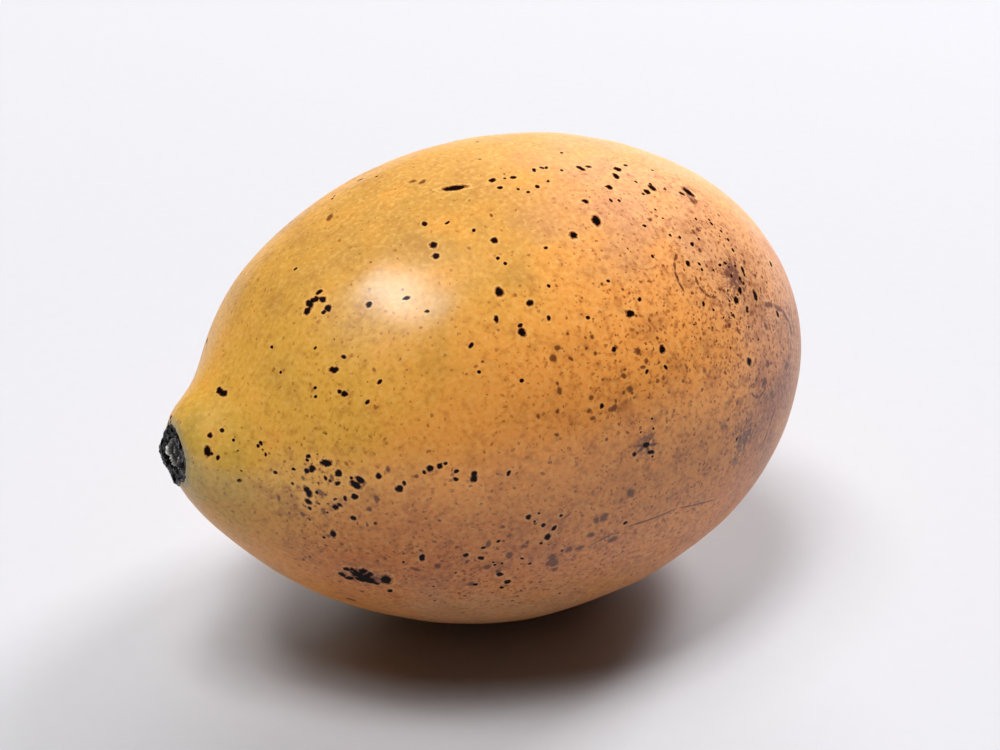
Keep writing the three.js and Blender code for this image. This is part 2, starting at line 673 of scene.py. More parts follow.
@dataclass(frozen=True)
class Wash:
    """A soft patch on the skin, round or drawn out along the axis, that fades like a bell.

    Args:
        along: its middle along the fruit's axis, in millimetres.
        turn: its middle's turn from the crown towards the near side, in degrees.
        spread: how far out it has faded to a third, in millimetres.
        strength: its value in the middle.
        length: its spread along the axis over its spread across.
    """

    along: float
    turn: float
    spread: float
    strength: float = 1.0
    length: float = 1.0

    def at(self, points: np.ndarray, form: FruitForm) -> np.ndarray:
        """The patch's value at each point."""
        away = (points - form.spot(self.along, self.turn)) / self.spread
        away[..., 0] /= self.length
        return self.strength * np.exp(-(away**2).sum(axis=-1))


class Tint(Enum):
    """The soft fields that the skin's finish reads, by the names of their attributes."""

    GOLDEN = "golden"
    TOP_SHADE = "painted_top_shade"
    DULL = "dull"
    OLIVE = "olive"
    BLUSH_AND_BOUNCE = "blush_and_bounce_light"
    TAN_AND_LOW_SHADE = "tan_and_low_shade"
    BRUISE = "bruise"
    SPECKED = "specked"
    FRECKLED = "freckled"


# Named places on the skin: an along in millimetres and a turn in degrees.
NECK = (-30, 54)
NEAR_SHOULDER = (-25, 80)
CROWN = (-2, 12)
DARK_SPOT = (14, 23)
DARK_CLUSTER = (14, 50)
STARRY_SCAB = (0, 81)
CRACKED_SCAB = (-22, 119)
SMUDGE = (12, 89)

SPECKS = (
    # the neck and the shoulder
    *crowd(21, *NECK, 2.4, 8, 0.5, 0.38),
    *crowd(22, -28, 10, 0.8, 3, 0.8, 0.4),
    *crowd(23, -22, 20, 2.4, 10, 0.6),
    *crowd(24, -22, 45, 1.8, 8, 0.9, 0.4),
    # the crown, with a gouge, and on towards the blossom end
    *crowd(25, *CROWN, 1.4, 12, 2.4, 0.42),
    *crowd(26, -11, 22, 2.4, 8),
    Mark(-7, 7, 0.7, 2.8, 28, relief=-0.08),
    *crowd(27, 6, 22, 2.6, 16, 1.2, 0.43),
    *crowd(28, 12, 28, 4, 7, 0.8, 0.42),
    Mark(*DARK_SPOT, 0.8, 1.6, 60),
    *crowd(29, *DARK_CLUSTER, 2.6, 28, 0.9, 0.4),
    # the near side: above the middle, the crowded shoulder, the row under the middle and the low part
    *crowd(30, -9, 46, 2.6, 14, 1.5, 0.4),
    *crowd(31, 0, 57, 2.4, 7, 1.6, 0.42),
    *crowd(32, *NEAR_SHOULDER, 2.8, 28, 0.5, 0.4),
    *crowd(33, -18, 79, 0.8, 13, 4, 0.4),
    *crowd(34, -10, 97, 1.8, 9, 1.8, 0.38),
    *crowd(35, -14, 110, 2.2, 12, 1.0, 0.34),
    # the two scabs
    *crowd(36, *CRACKED_SCAB, 1.1, 16, 1.1, 0.66, relief=0.1),
    Mark(*STARRY_SCAB, 0.5, 1.4),
    *crowd(37, *STARRY_SCAB, 0.7, 6, 1.3, 0.32),
    # the far side and the underside
    *crowd(1, -20, 245, 4, 18),
    *crowd(2, 2, 300, 6, 24),
    *crowd(3, 15, 235, 5, 18),
    *crowd(4, -5, 205, 5, 14),
    *crowd(5, 23, 315, 4, 10),
    *crowd(6, -16, 322, 4, 10),
    *crowd(7, 12, 175, 5, 12),
    *crowd(8, -4, 250, 4, 14),
)

STAINS = (
    # the crown
    *crowd(41, -9, 6, 4, 8, 1.4),
    # the near side above the middle
    *crowd(42, -3, 62, 3.4, 34, 1.4),
    # round the dark cluster
    *crowd(43, *DARK_CLUSTER, 3.8, 18, 0.9, 0.45),
    *crowd(44, 14, 72, 3.2, 12, 1.0, 0.48),
    # the shoulder, and the low part of the near side
    *crowd(45, -26, 94, 3.6, 12, 0.5),
    *crowd(46, -21, 88, 3.6, 9, 0.8),
    *crowd(47, -5, 100, 1.8, 14, 2.2, 0.5),
    *crowd(48, -15, 108, 3.6, 14, 1.0, 0.42),
    # round the two scabs
    *crowd(49, *CRACKED_SCAB, 3.0, 8, 0.8, 0.45),
    *star(50, *STARRY_SCAB, 1.3, 5, 0.24),
    # curled lines near the blossom end, a long one round it, one over the underside and one by the smudge
    *curls(51, 12, 54, 2.6, 6),
    *curls(52, 15, 70, 2.6, 3),
    *arc(0.5, 17, 72, 4.5, -90, 90),
    *scratch(0.22, (-5, 104), (-2, 101), (4, 101), (9, 105)),
    *scratch(0.28, (15, 100), (16, 94), (17, 89)),
    # the far side and the underside
    *crowd(11, -18, 250, 5, 14),
    *crowd(12, 6, 290, 7, 22),
    *crowd(13, 16, 225, 6, 22),
    *crowd(14, -4, 190, 7, 14),
)

WASHES: Mapping[Tint, Sequence[Wash]] = {
    Tint.GOLDEN: (
        Wash(-24, 30, 13, 0.8, 1.1),
        Wash(-29, 0, 9, 0.6),
        Wash(-6, 30, 8, 0.5, 1.4),
        Wash(-27, 70, 8, 0.35),
        Wash(-20, -40, 14, 0.7, 1.2),
        Wash(-16, 200, 14, 0.6, 1.4),
        Wash(4, 300, 9, 0.5),
    ),
    Tint.TOP_SHADE: (
        # painted shade: a duskier colour over the crown and the top of the far side holds down the bright
        # light from above
        Wash(-12, 0, 14, 0.8, 1.3),
        Wash(8, -2, 12, 0.7, 1.2),
        Wash(-4, -50, 12, 0.4, 1.6),
    ),
    Tint.OLIVE: (
        Wash(-33, 90, 7, 0.75),
        Wash(-24, 30, 6, 0.25),
        Wash(-12, 200, 9, 0.4, 1.6),
        Wash(-18, 300, 7, 0.4, 1.4),
    ),
    Tint.BLUSH_AND_BOUNCE: (
        Wash(12, 16, 12, 0.75),
        Wash(1, 32, 8, 0.35),
        Wash(13, 48, 5, 0.4),
        Wash(25, 62, 13, 0.95),
        # painted light bounced from the floor: the next two washes lighten the strip of skin just above the
        # floor
        Wash(0, 112, 9, 0.3, 2.0),
        Wash(-12, 134, 6, 1.0, 3.0),
        Wash(8, -60, 14, 0.7),
        Wash(20, 250, 14, 0.7),
    ),
    Tint.DULL: (
        Wash(18, 86, 8, 0.75),
        Wash(26, 48, 6, 0.5),
        Wash(14, 42, 4.5, 0.2),
        Wash(22, 230, 10, 0.5),
    ),
    Tint.TAN_AND_LOW_SHADE: (
        # tan, mostly over the lower half: partly the skin's own brown, partly painted shade that darkens the
        # underside
        Wash(-20, 116, 9, 0.8, 1.5),
        Wash(-2, 116, 10, 0.75, 1.8),
        Wash(16, 110, 10, 0.7),
        Wash(-6, 145, 9, 0.3, 2.0),
        Wash(-4, 74, 6, 0.25, 1.6),
        Wash(24, 200, 12, 0.7),
        Wash(-8, 240, 10, 0.4, 1.8),
    ),
    Tint.BRUISE: (
        # the smudge, and fainter ones beside it
        Wash(*SMUDGE, 2.0, 0.8, 0.8),
        Wash(11, 95, 1.2, 0.5),
        Wash(9, 84, 1.2, 0.5),
        Wash(16, 83, 1.3, 0.6),
        Wash(19, 87, 2.0, 0.35),
        Wash(22, 66, 2.0, 0.6),
        Wash(20, 77, 1.8, 0.5),
        # under the dark marks
        Wash(*DARK_SPOT, 1.0, 1.0),
        Wash(*DARK_CLUSTER, 2.0, 0.95, 0.8),
        Wash(-26, 99, 1.3, 0.4),
        Wash(*CRACKED_SCAB, 1.9, 0.7, 1.3),
        Wash(*STARRY_SCAB, 1.3, 0.75),
        # on the hidden side
        Wash(10, 205, 2.4, 0.6),
        Wash(-6, 285, 1.5, 0.7, 1.5),
    ),
    Tint.SPECKED: (
        Wash(*NEAR_SHOULDER, 3, 0.55, 1.2),
        Wash(*NECK, 2.5, 0.35),
        Wash(-21, 35, 3, 0.2),
        Wash(13, 55, 4.5, 0.55),
        Wash(14, 48, 1.8, 0.6),
        Wash(9, 32, 5, 0.25),
        Wash(-12, 104, 3.5, 0.35, 1.6),
        Wash(-1, 14, 3, 0.2, 1.6),
        Wash(2, 225, 5, 0.4, 1.5),
        Wash(-18, 265, 4, 0.4, 1.5),
        Wash(16, 310, 5, 0.4),
    ),
    Tint.FRECKLED: (
        Wash(0, 62, 8, 0.6, 1.3),
        Wash(13, 56, 9, 0.75),
        Wash(20, 66, 7, 0.55),
        Wash(13, 86, 7, 0.35),
        Wash(10, 26, 7, 0.35),
        Wash(-16, 106, 8, 0.65, 1.6),
        Wash(4, 106, 8, 0.6, 1.6),
        Wash(-26, 88, 5, 0.6),
        Wash(-22, 45, 6, 0.25),
        Wash(6, 220, 14, 0.6, 1.4),
        Wash(-10, 300, 12, 0.5, 1.4),
    ),
}


@dataclass(frozen=True)
class MarkSheets:
    """Carries crisp marks on a mesh that is coarser than they are.

    Each point near a mark holds its place as seen from that mark, which is linear in space, so it is exact
    between the points too. Marks that would share a face go to different sheets. A point without a mark
    holds a long vector out of the skin, so that no face passes near a mark's middle by accident.
    """

    marks: Sequence[Blemish]
    margin: float = 0.5
    guard: float = 0.4
    far: float = 99.0

    def build(self, points: np.ndarray, normals: np.ndarray, form: FruitForm) -> list[np.ndarray]:
        """Shares the marks out.

        Args:
            points: the mesh's points, in millimetres.
            normals: the skin's outward direction at each.
            form: the fruit's form, which places the marks.

        Returns:
            For each sheet, the vector at each point.
        """
        sheets: list[np.ndarray] = []
        taken: list[np.ndarray] = []
        for mark in self.marks:
            seen = mark.local(points, form)
            near = mark.covers(seen, form, self.margin)
            free = [number for number, used in enumerate(taken) if not (used & near).any()]
            if not free:
                free = [len(sheets)]
                sheets.append(self.far * normals)
                taken.append(np.zeros(len(points), bool))
            sheets[free[0]][near] = seen[near]
            taken[free[0]] |= mark.covers(seen, form, self.margin + self.guard)
        return sheets


# ------------------------------------------------------------------------------
# Finishes
# ------------------------------------------------------------------------------


@dataclass(frozen=True)
class RipeSkinFinish:
    """Waxy ripe skin: amber going gold, olive, peach and brown in patches, with freckles and dark marks. Some
    patches are painted: shade on the crown and the underside, and light bounced from the floor along the lower
    edge.
    """

    amber: Colour = srgb(239, 155, 70)
    gold: Colour = srgb(222, 164, 62)
    olive: Colour = srgb(186, 156, 70)
    # painted shade for the crown
    top_shade: Colour = srgb(188, 140, 66)
    # peach blush, which along the lower edge is painted floor light
    peach: Colour = srgb(210, 150, 104)
    # tan, partly painted shade on the underside
    tan: Colour = srgb(215, 123, 50)
    mauve: Colour = srgb(170, 106, 78)
    russet: Colour = srgb(132, 62, 26)
    umber: Colour = srgb(92, 40, 20)
    plum: Colour = srgb(92, 54, 52)
    scab: Colour = srgb(14, 4, 4)
    ring: Colour = srgb(240, 196, 120)
    cork: Colour = srgb(146, 134, 100)
    roughness: float = 0.46
    coat: float = 0.36
    coat_roughness: float = 0.285
    coat_ior: float = 2.2

    def material(self, speck_sheets: int, stain_sheets: int) -> bpy.types.Material:
        """Builds the material.

        Args:
            speck_sheets: how many sheets of black specks the skin holds.
            stain_sheets: how many sheets of brown stains it holds.

        Returns:
            The material.
        """
        graph = Graph("ripe_skin")
        place = graph.millimetres()
        ragged = graph.noise(place, 0.3, 2) - 0.5
        mottle = graph.noise(place, 1.1, 3)
        grain = graph.noise(place, 0.42, 2)
        push = graph.noise(place, 0.35, 1, "Color")
        speck = self._nearest(graph, "speck", speck_sheets) + ragged * 1.1
        stain = self._nearest(graph, "stain", stain_sheets) + ragged * 1.2
        freckled = graph.attribute(Tint.FRECKLED.value)
        freckles = self._freckles(graph, self._bent(graph, place, push, 0.4), freckled)
        stained = 1 - stain.rise(0.6, 1.4)
        stray = self._stray_specks(graph, self._bent(graph, place, push, 0.25))
        dark = (1 - speck.rise(0.85, 1.15)).at_least(stray)
        rim = speck.rise(1.3, 1.5) * (1 - speck.rise(1.5, 1.9))

        colour = self._ground(graph, place, mottle, grain, freckled)
        colour = graph.mix(freckles * (freckled * 0.4 + 0.6), colour, self.russet)
        colour = graph.mix(rim * 0.35, colour, self.ring)
        colour = graph.mix(self._bruises(graph, mottle, grain), colour, self.plum)
        colour = graph.mix(stained * 0.85, colour, self.umber)
        colour = graph.mix(self._cork(graph, mottle), colour, self.cork)
        colour = graph.mix((1 - speck.rise(1.0, 1.45)) * 0.8, colour, self.russet)
        colour = graph.mix(dark, colour, self.scab)

        height = grain * 0.022 + graph.noise(place, 0.18, 2) * 0.009
        bump = graph.node("ShaderNodeBump", None, {"Height": height, "Distance": MM, "Strength": 0.8})

        shader = graph.shader
        graph.fill(shader, "Base Color", colour)
        graph.fill(shader, "Roughness", self.roughness + (grain - 0.5) * 0.2 + dark * 0.2)
        graph.fill(shader, "Normal", graph.output(bump, "Normal"))
        graph.fill(shader, "Coat Weight", self.coat * (1 - dark * 0.85))
        graph.fill(shader, "Coat Roughness", self.coat_roughness)
        graph.fill(shader, "Coat IOR", self.coat_ior)
        graph.fill(shader, "Specular IOR Level", 0.05)
        return graph.material

    def _ground(
        self, graph: Graph, place: Socket, mottle: Socket, grain: Socket, freckled: Socket
    ) -> Socket:
        """The skin's colour between its spots: amber under gold, a duskier painted shade on the crown, brown
        tan that is partly painted shade on the underside, peach that is partly painted floor light along the
        lower edge, mauve and olive washes, each broken up by noise, with a fine mottle over all."""
        patches = graph.noise(place, 3.6, 3)
        broken = 1 + (patches - 0.5) * 1.6
        washes = {
            Tint.GOLDEN: self.gold,
            Tint.TOP_SHADE: self.top_shade,
            Tint.TAN_AND_LOW_SHADE: self.tan,
            Tint.BLUSH_AND_BOUNCE: self.peach,
            Tint.DULL: self.mauve,
            Tint.OLIVE: self.olive,
        }
        colour: Any = self.amber
        for tint, wash in washes.items():
            colour = graph.mix((graph.attribute(tint.value) * broken).rise(0.0, 1.0), colour, wash)
        colour = graph.mix(patches.rise(0.52, 0.7) * (freckled * 0.25 + 0.1), colour, self.russet)
        colour = graph.mix(mottle.rise(0.52, 0.68) * (freckled * 0.35 + 0.12), colour, self.russet)
        colour = graph.mix(grain.rise(0.52, 0.7) * (freckled * 0.4 + 0.16), colour, self.russet)
        return graph.mix(grain.rise(0.5, 0.3) * 0.24, colour, self.ring)

    @staticmethod
    def _nearest(graph: Graph, name: str, sheets: int) -> Socket:
        """How far it is to the nearest mark on any sheet: 1 at a mark's edge."""
        nearest: Optional[Socket] = None
        for number in range(sheets):
            seen = graph.attribute(f"{name}_{number}", "Vector")
            reach = graph.vector_maths("LENGTH", {0: seen}, "Value")
            nearest = graph.maths("MINIMUM", nearest, reach) if nearest else reach
        return nearest

    @staticmethod
    def _stray_specks(graph: Graph, bent: Socket) -> Socket:
        """Tiny black specks, crowded where the skin is specked and stray elsewhere."""
        crowded = graph.dots(bent, 0.8, (0.14, 0.3), graph.attribute(Tint.SPECKED.value))
        stray = graph.dots(bent, 2.3, (0.05, 0.11), 0.16)
        return crowded.at_least(stray)

    @staticmethod
    def _freckles(graph: Graph, bent: Socket, freckled: Socket) -> Socket:
        """Faint reddish freckles of two sizes."""
        coarse = graph.dots(bent, 0.7, (0.12, 0.3), freckled * 0.95 + 0.08)
        fine = graph.dots(bent, 0.45, (0.2, 0.42), freckled * 0.7 + 0.2)
        return coarse.at_least(fine * 0.7)

    @staticmethod
    def _bruises(graph: Graph, mottle: Socket, grain: Socket) -> Socket:
        """Purple-brown smudges, grainy and with ragged edges."""
        broken = 1 + (mottle - 0.5) * 2.2 + (grain - 0.5) * 2.6
        return (graph.attribute(Tint.BRUISE.value) * broken).rise(0.2, 0.95) * 0.75

    @staticmethod
    def _cork(graph: Graph, mottle: Socket) -> Socket:
        """The grey corky skin next to the calyx."""
        return (graph.attribute("cork") + (mottle - 0.5) * 0.8).rise(0.35, 0.9) * 0.6

    @staticmethod
    def _bent(graph: Graph, place: Socket, push: Socket, amount: float) -> Socket:
        """The place pushed about by an amount of fine noise, which makes round dots uneven."""
        return graph.vector_maths("MULTIPLY_ADD", {0: push, 1: (amount,) * 3, 2: place})


@dataclass(frozen=True)
class DryCalyxFinish:
    """Black, shrivelled calyx tissue with a dull shine and grey ridge tops that are partly dust and partly a
    painted sheen.
    """

    black: Colour = srgb(6, 5, 6)
    brown: Colour = srgb(24, 18, 16)
    dust_and_sheen: Colour = srgb(84, 82, 80)
    roughness: float = 0.34
    coat: float = 0.6
    coat_roughness: float = 0.1

    def material(self) -> bpy.types.Material:
        """Builds the material."""
        graph = Graph("dry_calyx")
        place = graph.millimetres()
        clouds = graph.noise(place, 0.9, 3)
        grain = graph.noise(place, 0.2, 2)
        ridge = graph.attribute("ridge")
        colour = graph.mix(clouds.rise(0.5, 0.72), self.black, self.brown)
        # the grey on the ridge tops is partly dust and partly a painted sheen on the folds
        colour = graph.mix((ridge + (grain - 0.5) * 0.7).rise(0.9, 1.2) * 0.5, colour, self.dust_and_sheen)
        bump = graph.node("ShaderNodeBump", None, {"Height": grain * 0.02 + clouds * 0.06, "Distance": MM})
        graph.fill(graph.shader, "Base Color", colour)
        graph.fill(graph.shader, "Roughness", self.roughness + (clouds - 0.5) * 0.4)
        graph.fill(graph.shader, "Normal", graph.output(bump, "Normal"))
        graph.fill(graph.shader, "Specular IOR Level", 0.15)
        graph.fill(graph.shader, "Coat Weight", self.coat)
        graph.fill(graph.shader, "Coat Roughness", self.coat_roughness)
        return graph.material


@dataclass(frozen=True)
class DryStalkFinish:
    """The grey broken end of the stalk, coloured by its height: dark pits that are painted shade, pale ridges
    and a raised far rim that are partly a painted highlight, and fine fibres.
    """

    pit_shade: Colour = srgb(24, 22, 22)
    grey: Colour = srgb(92, 90, 86)
    pale: Colour = srgb(226, 226, 218)
    roughness: float = 0.7

    def material(self) -> bpy.types.Material:
        """Builds the material."""
        graph = Graph("dry_stalk")
        place = graph.millimetres()
        grain = graph.noise(place, 0.14, 3)
        patches = graph.noise(place, 0.5, 3)
        high = graph.attribute("ridge") + (patches - 0.5) * 0.7 + (grain - 0.5) * 0.4
        # painted shade in the low pits and a painted highlight on the high ridges and the raised far rim
        colour = graph.ramp(high, [(0.15, self.pit_shade), (0.45, self.grey), (0.9, self.pale)])
        bump = graph.node("ShaderNodeBump", None, {"Height": grain * 0.06 + patches * 0.08, "Distance": MM})
        graph.fill(graph.shader, "Base Color", colour)
        graph.fill(graph.shader, "Roughness", self.roughness + (grain - 0.5) * 0.3)
        graph.fill(graph.shader, "Normal", graph.output(bump, "Normal"))
        return graph.material


@dataclass(frozen=True)
class PaleFloorFinish:
    """A pale matt card with the faintest tooth."""

    dark: Colour = srgb(170, 170, 174)
    light: Colour = srgb(173, 173, 177)
    paleness: float = 0.41

    def material(self) -> bpy.types.Material:
        """Builds the material."""
        graph = Graph("pale_floor")
        place = graph.millimetres()
        tooth = graph.noise(place, 1.5, 3)
        graph.fill(graph.shader, "Base Color", graph.mix(tooth, self.dark, self.light))
        graph.fill(graph.shader, "Roughness", 0.85)
        graph.fill(graph.shader, "Specular IOR Level", 0.2)
        return graph.material


# ------------------------------------------------------------------------------
# Sub-assemblies
# ------------------------------------------------------------------------------


@dataclass
class RipeFruit:
    """The whole fruit in its skin.

    Its sheets are the number of mark sheets of each kind, known once it is built.
    """

    form: FruitForm
    seat: StemSeat
    finish: RipeSkinFinish = field(default_factory=RipeSkinFinish)
    around: int = 400
    rings: int = 247
    crowding: float = 0.3
    lumps: Waves = Waves(seed=7, length=17, height=0.16, octaves=3)
    lip_folds: Waves = Waves(seed=3, length=2.6, height=0.22, octaves=2, creased=True)
    dish_depth: float = 0.9
    dish_radius: float = 2.1
    dish_wall: tuple[float, float] = (-0.2, 2.0)
    dish_softness: float = 0.2
    lip_width: float = 1.6
    lip_start: float = 2.0
    lip_end: float = 2.9
    fold_run: float = 0.25
    fold_round: float = 3.0
    cork_edge: tuple[float, float] = (2.7, 3.7)
    settle: float = 0.1
    sheets: dict[str, int] = field(default_factory=dict)

    def build(self) -> bpy.types.Object:
        """Builds the skin and the marks that it holds.

        Returns:
            The piece.
        """
        share = np.arange(1, self.rings + 1) / (self.rings + 1)
        tip_angle = math.pi * (self.crowding * share**2 + (1 - self.crowding) * share)
        around = np.arange(self.around) * (2 * math.pi / self.around)
        rings = self._grow(self.form.point(*np.meshgrid(tip_angle, around, indexing="ij")))
        tips = self._grow(self.form.point(np.array([0.0, math.pi]), np.zeros(2)))
        outward = self._outward(rings)
        for mark in SPECKS:
            if mark.relief:
                away = (mark.local(rings, self.form) ** 2).sum(axis=-1)
                rings += (mark.relief * np.exp(-away))[..., None] * outward
        piece = new_piece("ripe_skin", rings, tips)
        self._store_marks(piece, np.vstack([rings.reshape(-1, 3), tips]), outward)
        return piece

    def _grow(self, points: np.ndarray) -> np.ndarray:
        """Adds the lumps, hollows out the dish under the calyx, folds the lip round it and settles the skin
        on the floor.

        Args:
            points: points of the round form.

        Returns:
            The points on the finished skin.
        """
        middle = np.array([0, 0, self.form.axis_height])
        points = points + self.lumps.at(points)[..., None] * unit(points - middle)
        radius, angle, height = self.seat.measure(points)
        lip = np.exp(-np.maximum(radius - self.dish_radius, 0) / self.lip_width)
        across, up = self.fold_round * np.cos(angle), self.fold_round * np.sin(angle)
        folds = self.lip_folds.at(np.stack([radius * self.fold_run, across, up], axis=-1))
        height = height + lip * folds * smooth_step(radius, self.lip_start, self.lip_end)
        foot, brim = (self.dish_radius + edge for edge in self.dish_wall)
        clear = 6  # the dish's wall ends this high above its floor, well past the skin
        ceiling = -self.dish_depth + clear * smooth_step(radius, foot, brim)
        height = -soft_floor(-height, -ceiling, self.dish_softness)
        tip_size = 12
        near_tip = (radius < tip_size) & (height > -tip_size)
        points = np.where(near_tip[..., None], self.seat.place(radius, angle, height), points)
        points[..., 2] = soft_floor(points[..., 2], 0.0, self.settle)
        return points

    @staticmethod
    def _outward(rings: np.ndarray) -> np.ndarray:
        """The outward direction at each point: the way round crossed with the way along."""
        round_about = np.roll(rings, -1, axis=1) - np.roll(rings, 1, axis=1)
        return unit(np.cross(round_about, np.gradient(rings, axis=0)))

    def _store_marks(self, piece: bpy.types.Object, points: np.ndarray, outward: np.ndarray) -> None:
        """Writes the washes, the cork and the mark sheets into the piece's mesh."""
        for tint, washes in WASHES.items():
            store(piece, tint.value, np.clip(sum(wash.at(points, self.form) for wash in washes), 0, 1))
        radius, _, height = self.seat.measure(points)
        cork = 1 - smooth_step(np.hypot(radius, np.minimum(height + 0.5, 0)), *self.cork_edge)
        store(piece, "cork", cork)
        normals = np.vstack([outward.reshape(-1, 3), [[-1, 0, 0], [1, 0, 0]]])
        for name, marks in (("speck", SPECKS), ("stain", STAINS)):
            sheets = MarkSheets(marks).build(points, normals, self.form)
            self.sheets[name] = len(sheets)
            for number, vectors in enumerate(sheets):
                store(piece, f"{name}_{number}", vectors)
        log.info("sheets of marks: %s", self.sheets)

    def dress(self, piece: bpy.types.Object) -> None:
        """Gives the piece its finish and its place in the frame."""
        piece.data.materials.append(self.finish.material(self.sheets["speck"], self.sheets["stain"]))
        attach(piece, "root")
        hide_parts("fruit_body")


@dataclass
class CalyxCrust:
    """The black, shrivelled ring of dry calyx round the stalk.

    Its edge is a ring with the pointed tips of the dried sepals, each an angle in degrees and a reach past
    the ring in millimetres. It lies on the skin outside its bed's edge and fills the dish inside it.
    """

    seat: StemSeat
    finish: DryCalyxFinish = field(default_factory=DryCalyxFinish)
    around: int = 360
    section: int = 110
    ring: float = 2.35
    tips: Sequence[tuple[float, float]] = ((60, 0.9), (180, 0.7), (270, 0.9), (315, 0.65), (345, 0.6))
    tip_width: float = 14
    hole: float = 1.25
    hole_shift: float = 0.2
    far_side: float = math.radians(-25)
    floor: float = -0.75
    top: float = 0.22
    far_rise: float = 0.42
    bed_edge: float = 2.3
    bed_height: float = -0.1
    bed_slope: float = 0.3
    edge_width: float = 0.7
    edge_thickness: float = 0.3
    edge_rise: float = 0.36
    edge_calm: float = 0.6
    ridge_height: float = 0.4
    folds: Waves = Waves(seed=21, length=2.6, height=0.3, octaves=2, count=5)
    creases: Waves = Waves(seed=5, length=1.5, height=0.2, octaves=2, count=4, creased=True)

    def build(self) -> bpy.types.Object:
        """Builds the crust as a ring. Its section goes round between the bed below and a top above, which
        comes down to a thin outer edge and stands up at the far side. Folds and creases shrivel it all.

        Returns:
            The piece.
        """
        angle, turn = np.meshgrid(
            np.arange(self.around) * (2 * math.pi / self.around),
            np.arange(self.section) * (2 * math.pi / self.section),
            indexing="ij",
        )
        far = np.cos(angle - self.far_side)
        outer = self._outer(angle)
        inner = self.hole + self.hole_shift * far
        middle = (outer + inner) / 2
        square = 0.8
        out = np.sign(np.cos(turn)) * np.abs(np.cos(turn)) ** square
        up = np.sign(np.sin(turn)) * np.abs(np.sin(turn)) ** square
        radius = middle + (outer - inner) / 2 * out
        bed = self._bed(radius)
        crown = self.top + self.far_rise * np.maximum(far, 0) ** 4
        edge = smooth_step(radius, outer - self.edge_width, outer)
        rim = bed + self.edge_thickness + self.edge_rise * np.maximum(far, 0) ** 2
        top = crown + (rim - crown) * edge
        height = bed + (top - bed) * (1 + up) / 2
        rings = self.seat.place(radius, angle, height)
        shrivel = (self.folds.at(rings) + self.creases.at(rings)) * smooth_step(height, self.floor, -0.1)
        shrivel *= 1 - self.edge_calm * edge
        core = self.seat.place(middle, angle, np.full_like(middle, self.floor))
        rings = rings + shrivel[..., None] * unit(rings - core)
        piece = new_piece("calyx_crust", rings)
        # the ridge tops, where the finish lays grey dust and a painted sheen
        ridge = np.clip(0.5 + shrivel / self.ridge_height, 0, 1)
        store(piece, "ridge", ridge.ravel())
        return piece

    def _outer(self, angle: np.ndarray) -> np.ndarray:
        """The outer radius: a round edge, and at each tip a sepal's point that falls away on both sides."""
        outer = np.full_like(angle, self.ring)
        for place, reach in self.tips:
            away = np.abs((np.degrees(angle) - place + 180) % 360 - 180)
            outer += reach * np.exp(-away / self.tip_width)
        return outer

    def _bed(self, radius: np.ndarray) -> np.ndarray:
        """The height that the crust lies on: the dish's floor, its wall and then the sloping skin."""
        wall = smooth_step(radius, self.bed_edge - 0.4, self.bed_edge)
        slope = self.bed_slope * np.maximum(radius - self.bed_edge, 0)
        return self.floor + (self.bed_height - self.floor) * wall - slope

    def dress(self, piece: bpy.types.Object) -> None:
        """Gives the piece its finish and its place in the frame."""
        piece.data.materials.append(self.finish.material())
        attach(piece, "root")
        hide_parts("calyx_collar")


@dataclass
class StalkEnd:
    """The broken end of the stalk, sunk inside the calyx and off its middle."""

    seat: StemSeat
    finish: DryStalkFinish = field(default_factory=DryStalkFinish)
    around: int = 160
    face_rings: int = 50
    wall_rings: int = 8
    radius: float = 1.32
    shift: float = 0.2
    far_side: float = math.radians(-20)
    floor: float = -0.7
    top: float = 0.1
    rim: float = 0.28
    unevenness: float = 0.06
    ridge_height: float = 0.5
    fracture: Waves = Waves(seed=12, length=1.7, height=0.34, octaves=3, count=6, creased=True)

    def build(self) -> bpy.types.Object:
        """Builds the stalk as rings that widen over the broken face, go down the wall and close underneath.
        The face is creased, and its edge stands up towards the far side.

        Returns:
            The piece.
        """
        angle = np.arange(self.around) * (2 * math.pi / self.around)
        face_share = np.linspace(0, 1, self.face_rings + 1)[1:]
        wall_share = np.linspace(0, 1, self.wall_rings + 1)[1:]
        radius = self.radius * np.concatenate([face_share, np.ones(self.wall_rings), [0.5]])
        wall = self.top + (self.floor - self.top) * wall_share
        level = np.concatenate([np.full(self.face_rings, self.top), wall, [self.floor]])
        on_face = np.concatenate([np.ones(self.face_rings), 1 - wall_share, [0]])
        radius, turn = np.meshgrid(radius, angle, indexing="ij")
        level, on_face = level[:, None], on_face[:, None]
        uneven = 1 + self.unevenness * np.cos(3 * turn + 1)
        far = (1 + np.cos(turn - self.far_side)) / 2
        rim = self.rim * smooth_step(radius, 0.5 * self.radius, self.radius) * far
        flat = self._place(radius * uneven, turn, np.broadcast_to(level, radius.shape))
        broken = self.fracture.at(flat)
        rings = self._place(radius * uneven, turn, level + on_face * (rim + broken))
        tips = self._place(np.zeros(2), np.zeros(2), np.array([(level + broken)[0].mean(), self.floor]))
        piece = new_piece("stalk_end", rings, tips)
        # the face's height, which the finish turns into painted shade in the pits and a painted highlight on
        # the ridges
        ridge = np.clip(0.45 + (rim + broken) / self.ridge_height, 0, 1)
        store(piece, "ridge", np.append(ridge.ravel(), [0.5, 0.5]))
        return piece

    def _place(self, radius: np.ndarray, turn: np.ndarray, height: np.ndarray) -> np.ndarray:
        """The points at a radius and a turn round the stalk's own middle, and a height outwards."""
        across = radius * np.cos(turn) + self.shift * math.cos(self.far_side)
        up = radius * np.sin(turn) + self.shift * math.sin(self.far_side)
        return self.seat.place(np.hypot(across, up), np.arctan2(up, across), height)

    def dress(self, piece: bpy.types.Object) -> None:
        """Gives the piece its finish and its place in the frame."""
        piece.data.materials.append(self.finish.material())
        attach(piece, "root")
        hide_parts("stalk_stub")


